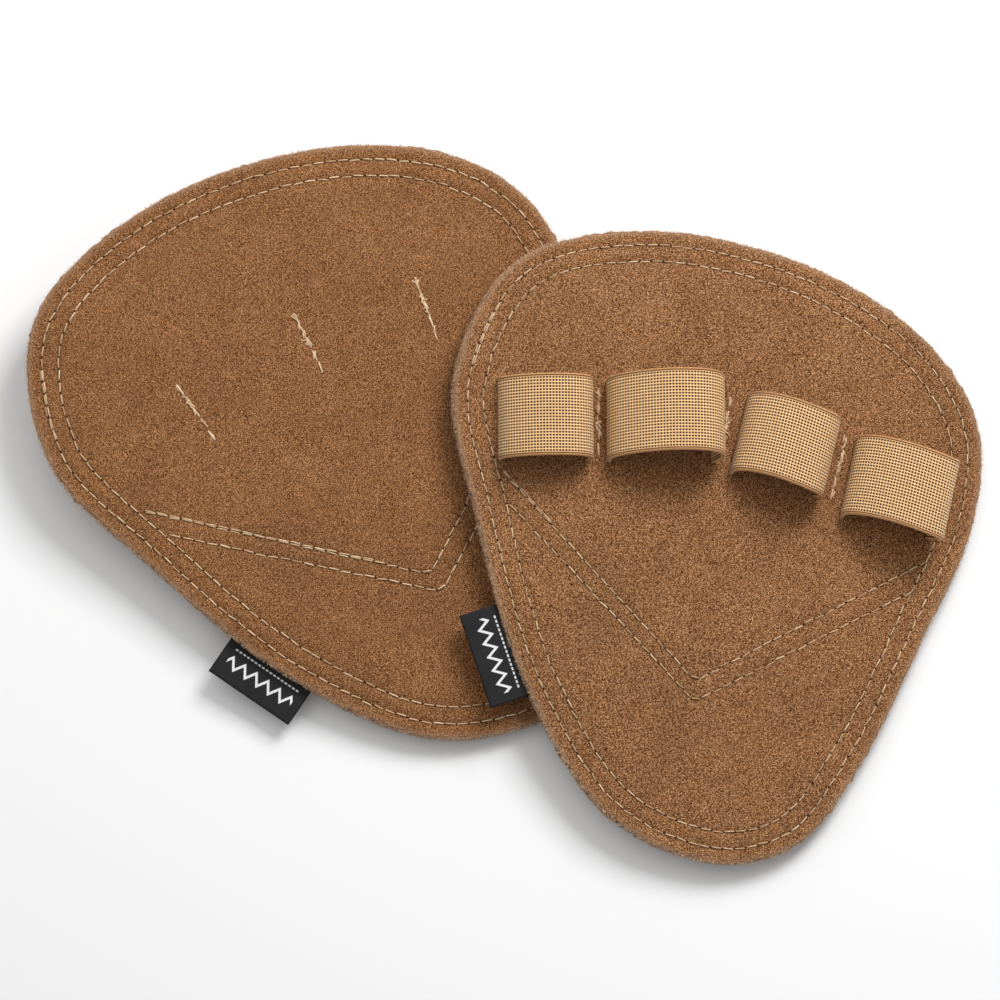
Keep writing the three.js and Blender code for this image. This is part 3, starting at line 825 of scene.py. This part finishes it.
def fuzz(batch, ring, out, z_low, z_high, count, reach, seed):
    """Short curved fibres standing out of a cut edge."""
    rng = np.random.default_rng(seed)
    for _ in range(count):
        f = rng.uniform(0, len(ring))
        i, k = int(f), f - int(f)
        j = (i + 1) % len(ring)
        p = ring[i] * (1 - k) + ring[j] * k
        n = out[i] * (1 - k) + out[j] * k
        t = np.array([-n[1], n[0]])
        z = rng.uniform(z_low, z_high)
        length = reach * rng.uniform(0.35, 1.0) ** 1.5
        side_way, rise = rng.normal(0, 0.6), rng.normal(0.0, 0.5)
        d0 = np.r_[n + t * side_way, rise]
        d0 /= np.linalg.norm(d0)
        d1 = d0 + rng.normal(0, 0.5, 3)
        d1 /= np.linalg.norm(d1)
        base = np.r_[p - n * 0.08, z]
        bow = base + d0 * length * 0.5
        path = np.array([base, bow, bow + d1 * length * 0.5])
        batch.add(*tube(path, FIBRE_GIRTH, sides=3), tone=rng.uniform(-1, 1))


FOOT_LEVEL = CORE_HIGH - 0.05 - BAND_THICKNESS / 2
FOOT_TURN = [(0.9, 0.0), (0.2, 0.25), (0.0, 0.9)]
ROUNDING = 2.0


def loop_line(side, finger, step):
    """Centreline of a band in (u, z), its run length and outward normals."""
    spec = LOOPS[finger]
    bulge = spec["bulge"] if side == "right" else 0
    half, crown = spec["span"] / 2, RISES[side][finger] - BAND_THICKNESS / 2
    pts = [(-half - spec["feet"][0], FOOT_LEVEL)] + [(-half - out, FOOT_LEVEL + up) for out, up in FOOT_TURN]
    for t in np.linspace(0, math.pi, 81):
        c, s = math.cos(t), math.sin(t)
        square = SQUARENESS[side][0 if c > 0 else 1]
        across = math.copysign(abs(c) ** (2 / square), c)
        up = abs(s) ** (2 / square)
        reach = half + bulge * math.sin(math.pi * up)
        pts.append((spec["slip"] * up * up - reach * across, PAD + crown * up))
    pts += [(half + out, FOOT_LEVEL + up) for out, up in FOOT_TURN[::-1]]
    pts.append((half + spec["feet"][1], FOOT_LEVEL))
    line = np.array(pts)
    run = np.r_[0, np.cumsum(np.linalg.norm(np.diff(line, axis=0), axis=1))]
    at = np.arange(0, run[-1], step)
    line = np.c_[np.interp(at, run, line[:, 0]), np.interp(at, run, line[:, 1])]
    for _ in range(round(ROUNDING / step)):
        line[1:-1] = (line[:-2] + 2 * line[1:-1] + line[2:]) / 4
    t = np.gradient(line, axis=0)
    t /= np.linalg.norm(t, axis=1)[:, None]
    return line, at, np.c_[-t[:, 1], t[:, 0]]


def grid_faces(rows, columns, offset=0, flip=False):
    """Quads between the rows of a grid of points."""
    i = np.arange(rows - 1)[:, None] * columns + np.arange(columns - 1)[None, :] + offset
    quads = np.stack([i, i + columns, i + columns + 1, i + 1], -1).reshape(-1, 4)
    return quads[:, ::-1] if flip else quads


def rim_faces(rows, columns):
    """Quads round the four edges of two such grids, the second stored after the first."""
    back = rows * columns
    i, k = np.arange(rows - 1) * columns, np.arange(columns - 1)
    rims = [np.stack([i, back + i, back + i + columns, i + columns], -1)]
    i = i + columns - 1
    rims.append(np.stack([i, i + columns, back + i + columns, back + i], -1))
    rims.append(np.stack([k, k + 1, back + k + 1, back + k], -1))
    k = k + (rows - 1) * columns
    rims.append(np.stack([k, back + k, back + k + 1, k + 1], -1))
    return rims


HALF_THICK, RIB_SINK, RIB_RISE, PIN_SINK, GUIDE_SINK = BAND_THICKNESS / 2, 0.08, 0.05, 0.17, 0.24


def band_thickness(run, ws):
    """Half thickness over a band: sunk pins between ribs, corded selvedges, a groove and round edges."""
    far = np.abs(ws)
    cell_w = np.abs((ws / PIN_PITCH) % 1.0 * 2 - 1)
    cell_u = np.abs((run / PIN_PITCH) % 1.0 * 2 - 1)
    pin = np.clip((cell_u - 0.4) / 0.3, 0, 1)[:, None] * np.clip((cell_w - 0.4) / 0.3, 0, 1)[None, :]
    weave = RIB_RISE * (1 - cell_w)[None, :] * np.ones((len(run), 1)) - PIN_SINK * pin
    thick = np.where(far[None, :] < FIELD_HALF, HALF_THICK - RIB_SINK + weave, HALF_THICK - 0.03)
    thick = np.where((np.abs(far - GUIDE_LINE) < 0.1)[None, :], HALF_THICK - GUIDE_SINK, thick)
    end = np.clip((BAND_WIDTH / 2 - far) / 0.32, 0, 1)
    return thick * np.sqrt(np.clip(1 - (1 - end) ** 2, 0.05, 1))[None, :]


def band(side, finger):
    """One elastic loop: pin holes between the warp ribs, corded selvedges, scalloped edges."""
    spec, scale = LOOPS[finger], PATTERN_SCALE[side]
    free = side == "right"
    cuts = 4 if free else 2
    line, run, normal = loop_line(side, finger, PIN_PITCH / cuts)
    ws = np.linspace(-BAND_WIDTH / 2, BAND_WIDTH / 2, PINS_ACROSS * cuts + 1)
    thick = band_thickness(run, ws)
    at_edge = (np.abs(ws) > 9.9)[None, :] * np.sign(ws)[None, :]
    scallop = 0.07 * np.cos(2 * math.pi * run / PIN_PITCH)[:, None] * at_edge
    verts, pat = [], []
    for face in (1, -1):
        u = line[:, :1] + normal[:, :1] * thick * face
        z = line[:, 1:] + normal[:, 1:] * thick * face
        above = np.clip(z - PAD, 0, None)
        v = ws[None, :] + scallop
        if free:
            v = v + spec["lean"] * above - spec["drop"] * u * above / RISES[side][finger]
        verts.append(np.stack([u, v, z], -1).reshape(-1, 3))
        pat.append(np.stack(np.broadcast_arrays(run[:, None], ws[None, :], float(face)), -1).reshape(-1, 3))
    verts, pat = np.vstack(verts), np.vstack(pat)
    verts[:, :2] = turned(np.array(spec["centre"]) * scale, spec["angle"], verts[:, :2])
    n, m = len(line), len(ws)
    faces = np.vstack([grid_faces(n, m), grid_faces(n, m, n * m, flip=True)] + rim_faces(n, m)).tolist()
    return build(f"{side}_loop_{finger}_band", side, verts, faces, ELASTIC_MATERIAL, pat=pat), run[-1]


LEAF, LABEL_OPEN, FOLD_ROUND, LABEL_CURL = 0.17, 0.24, 0.42, 0.10


def label_line():
    """The ribbon's run in (x, z): out over the fold and back."""
    reach = LABEL_GAP + LABEL_REACH
    fold = reach - 0.5
    xs = np.linspace(-LABEL_ROOT, fold, 26)
    part = [LABEL_OPEN * min(1, 0.5 + x / reach) for x in xs]
    top = [(x, LABEL_MIDDLE + gap) for x, gap in zip(xs, part)]
    low = [(x, LABEL_MIDDLE - gap) for x, gap in zip(xs, part)][::-1]
    turn = [(fold + FOLD_ROUND * math.sin(a), LABEL_MIDDLE + LABEL_OPEN * math.cos(a))
            for a in np.linspace(0.15, math.pi - 0.15, 9)]
    return np.array(top + turn + low)


def label(side):
    """A ribbon folded over at its outer end, with both ends sewn into the edge of the pad."""
    reach = LABEL_GAP + LABEL_REACH
    line = label_line()
    t = np.gradient(line, axis=0)
    t /= np.linalg.norm(t, axis=1)[:, None]
    normal = np.c_[-t[:, 1], t[:, 0]]
    run = np.r_[0, np.cumsum(np.linalg.norm(np.diff(line, axis=0), axis=1))]
    vs = np.linspace(-LABEL_LENGTH / 2, LABEL_LENGTH / 2, 60)
    curl = LABEL_CURL * np.sin(vs * 0.45 + 0.6)
    n, m = len(line), len(vs)
    verts, pat = [], []
    for face in (1, -1):
        for i in range(n):
            x, z = line[i] + normal[i] * LEAF * face * 0.9
            out = np.clip(line[i, 0] / reach, 0, 1)
            verts.append(np.c_[np.full(m, x), vs, z + curl * out])
            across = reach - abs(run[i] - run[-1] / 2)
            pat.append(np.c_[vs, np.full(m, across), np.full(m, 1.0 if face == 1 else 0.0)])
    verts, pat = np.vstack(verts), np.vstack(pat)
    centre, angle = LABELS[side]
    verts[:, :2] = turned(np.array(centre) * PATTERN_SCALE[side], math.degrees(angle), verts[:, :2])
    faces = np.vstack([grid_faces(n, m), grid_faces(n, m, n * m, flip=True)] + rim_faces(n, m)).tolist()
    return build(f"{side}_label_ribbon", side, verts, faces, LABEL_MATERIAL, pat=pat)


def small_piece(batch, name, side, material, replaced=(), rides=False):
    """A batch as a piece of one grip, stretched to the grip's size in the plane."""
    scale = PATTERN_SCALE[side]
    batch.verts = [v * np.array([scale, scale, 1.0]) for v in batch.verts]
    obj = batch.build(f"{side}_{name}", side, material)
    if replaced:
        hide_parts(*replaced)
    if rides:
        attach(obj, f"{side}_finger_panel")
    else:
        bend(obj, side)


def make_layers(side):
    """The two suede layers and the core between them."""
    palm = suede_layer(side, True, COARSE_NAP)
    bar = suede_layer(side, False, FINE_NAP)
    core = core_layer(side, CORE_MATERIAL)
    for obj, stem in ((palm, "palm_suede"), (bar, "bar_suede"), (core, "core")):
        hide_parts(f"{side}_{stem}_finger", f"{side}_{stem}_flap")
        bend(obj, side)
    return core


# Seams: name, pattern line, whether it closes, and the stretches where it is sewn twice on each face.
SEAMS = [
    ("outer_seam", inset(EDGE, OUTER_ROW), True, {True: ((0.62, 0.66),), False: ((0.62, 0.66),)}),
    ("inner_seam", inset(EDGE, INNER_ROW), True, {True: (), False: ()}),
    ("v_seam_upper", np.array(V_UPPER), False, {True: ((0.0, 0.12),), False: ((0.0, 0.42),)}),
    ("v_seam_lower", np.array(V_LOWER), False, {True: (), False: ()}),
]
THREAD_RADIUS = {"left": 0.165, "right": 0.145}


def make_seams(side):
    """The stitched rows and bartacks on both faces, with a dark ellipse of painted shadow at each needle
    hole.
    """
    dark = Batch()
    for k, (name, line, closed, doubled) in enumerate(SEAMS):
        threads = Batch()
        for face in (True, False):
            holes = stitches(threads, line, face, THREAD_RADIUS[side], closed=closed, seed=40 + k + 7 * face,
                             doubled=doubled[face])
            hole_shadows(dark, holes, face, directions(holes))
        nodes = [f"{side}_{name}_finger", f"{side}_{name}_flap"] if closed else [f"{side}_{name}"]
        small_piece(threads, f"{name}_thread", side, THREAD_MATERIAL, nodes)
    for (centre, degrees), name in zip(TACKS, ("index_middle", "middle_ring", "ring_little")):
        threads = Batch()
        for face in (True, False):
            holes = bartack(threads, centre, degrees, face, seed=int(90 + centre[0]) + face)
            hole_shadows(dark, holes, face, directions(holes))
        small_piece(threads, f"tack_{name}_thread", side, THREAD_MATERIAL, [f"{side}_tack_{name}"],
                    rides=True)
    small_piece(dark, "needle_hole_shadows", side, HOLE_SHADOW_MATERIAL)


def make_fibres(side):
    """Loose fibres round the two cut edges and out of the slits."""
    hair = Batch()
    out = -inward_of(EDGE)
    fuzz(hair, EDGE, out, PALM_LOW + 0.1, PAD + 0.05, 5200, 1.1, 51)
    fuzz(hair, EDGE, out, -0.05, SUEDE - 0.1, 4400, 1.0, 52)
    for k, slit in enumerate(SLITS):
        away = slit - slit.mean(0)
        away /= np.linalg.norm(away, axis=1)[:, None]
        fuzz(hair, slit, away, PAD - 0.3, PAD + 0.15, 130, 0.9, 60 + k)
    small_piece(hair, "cut_edge_fibre", side, FIBRE_MATERIAL)


def make_loops(side):
    """The four elastic loops, each attached to the finger panel."""
    for finger, spec in LOOPS.items():
        obj, length = band(side, finger)
        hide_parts(f"{side}_loop_{finger}")
        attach(obj, f"{side}_finger_panel")
        c = np.array(spec["centre"]) * PATTERN_SCALE[side]
        anchor = to_row(side, [(*c, PALM_LOW)])[0]
        tuple(anchor)
        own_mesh(obj)


def make_label(side):
    """The folded label; the points where it leaves the pad are worked out and its transform is baked into its
    mesh.
    """
    obj = label(side)
    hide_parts(f"{side}_label_root", f"{side}_label_flag")
    centre, angle = LABELS[side]
    along = np.array([math.cos(angle), math.sin(angle)])
    p, q = (np.array(centre) * PATTERN_SCALE[side] + along * far for far in (0.1, 1.6))
    start, end = to_row(side, [(*p, LABEL_MIDDLE), (*q, LABEL_MIDDLE)])
    tuple(start)
    tuple(end)
    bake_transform(obj)


def make_grip(side):
    core = make_layers(side)
    make_seams(side)
    make_fibres(side)
    make_loops(side)
    make_label(side)


for grip_side in ("left", "right"):
    make_grip(grip_side)

# ---------------------------------------------------------------- camera, floor and light
# SPAN is how many metres the picture is wide at TARGET.
SPAN = 0.2440
LENS, SENSOR = 140.0, 36.0
ELEVATION = math.radians(80.0)
TARGET = Vector((-0.00137, 0.00034, 0.008))
FLOOR_HALF = 3.0
SKY_STRENGTH = 0.42


def turn_to(obj, target):
    obj.rotation_mode = "QUATERNION"
    obj.rotation_quaternion = (Vector(target) - obj.location).to_track_quat("-Z", "Y")


def make_camera():
    data = bpy.data.cameras.new("camera")
    data.lens, data.sensor_width = LENS, SENSOR
    data.clip_start, data.clip_end = 0.01, 20.0
    camera = bpy.data.objects.new("camera", data)
    bpy.context.scene.collection.objects.link(camera)
    bpy.context.scene.camera = camera
    back = Vector((0.0, -math.cos(ELEVATION), math.sin(ELEVATION)))
    camera.location = TARGET + back * (SPAN * LENS / SENSOR)
    turn_to(camera, TARGET)


def make_floor():
    h = FLOOR_HALF
    mesh = bpy.data.meshes.new("floor")
    mesh.from_pydata([(-h, -h, 0), (h, -h, 0), (h, h, 0), (-h, h, 0)], [], [(0, 1, 2, 3)])
    material, _, bsdf = new_material("floor_white")
    bsdf.inputs["Base Color"].default_value = (0.86, 0.86, 0.86, 1)
    bsdf.inputs["Roughness"].default_value = 0.9
    mesh.materials.append(material)
    floor = bpy.data.objects.new("floor", mesh)
    bpy.context.scene.collection.objects.link(floor)


def area_light(name, where, target, size, power):
    data = bpy.data.lights.new(name, "AREA")
    data.shape, data.size, data.energy = "SQUARE", size, power
    obj = bpy.data.objects.new(name, data)
    bpy.context.scene.collection.objects.link(obj)
    obj.location = where
    turn_to(obj, target)


def make_sky():
    world = bpy.data.worlds.new("studio")
    world.use_nodes = True
    world.node_tree.nodes["Background"].inputs[0].default_value = (1, 1, 1, 1)
    world.node_tree.nodes["Background"].inputs[1].default_value = SKY_STRENGTH
    bpy.context.scene.world = world


make_camera()
make_floor()
area_light("key", where=(0.28, 0.42, 0.52), target=(0, 0.02, 0), size=0.30, power=4.6)
area_light("fill", where=(-0.3, 0.5, 1.0), target=(0, 0.05, 0), size=1.2, power=4.6)
make_sky()
bpy.context.scene.view_settings.view_transform = "Standard"
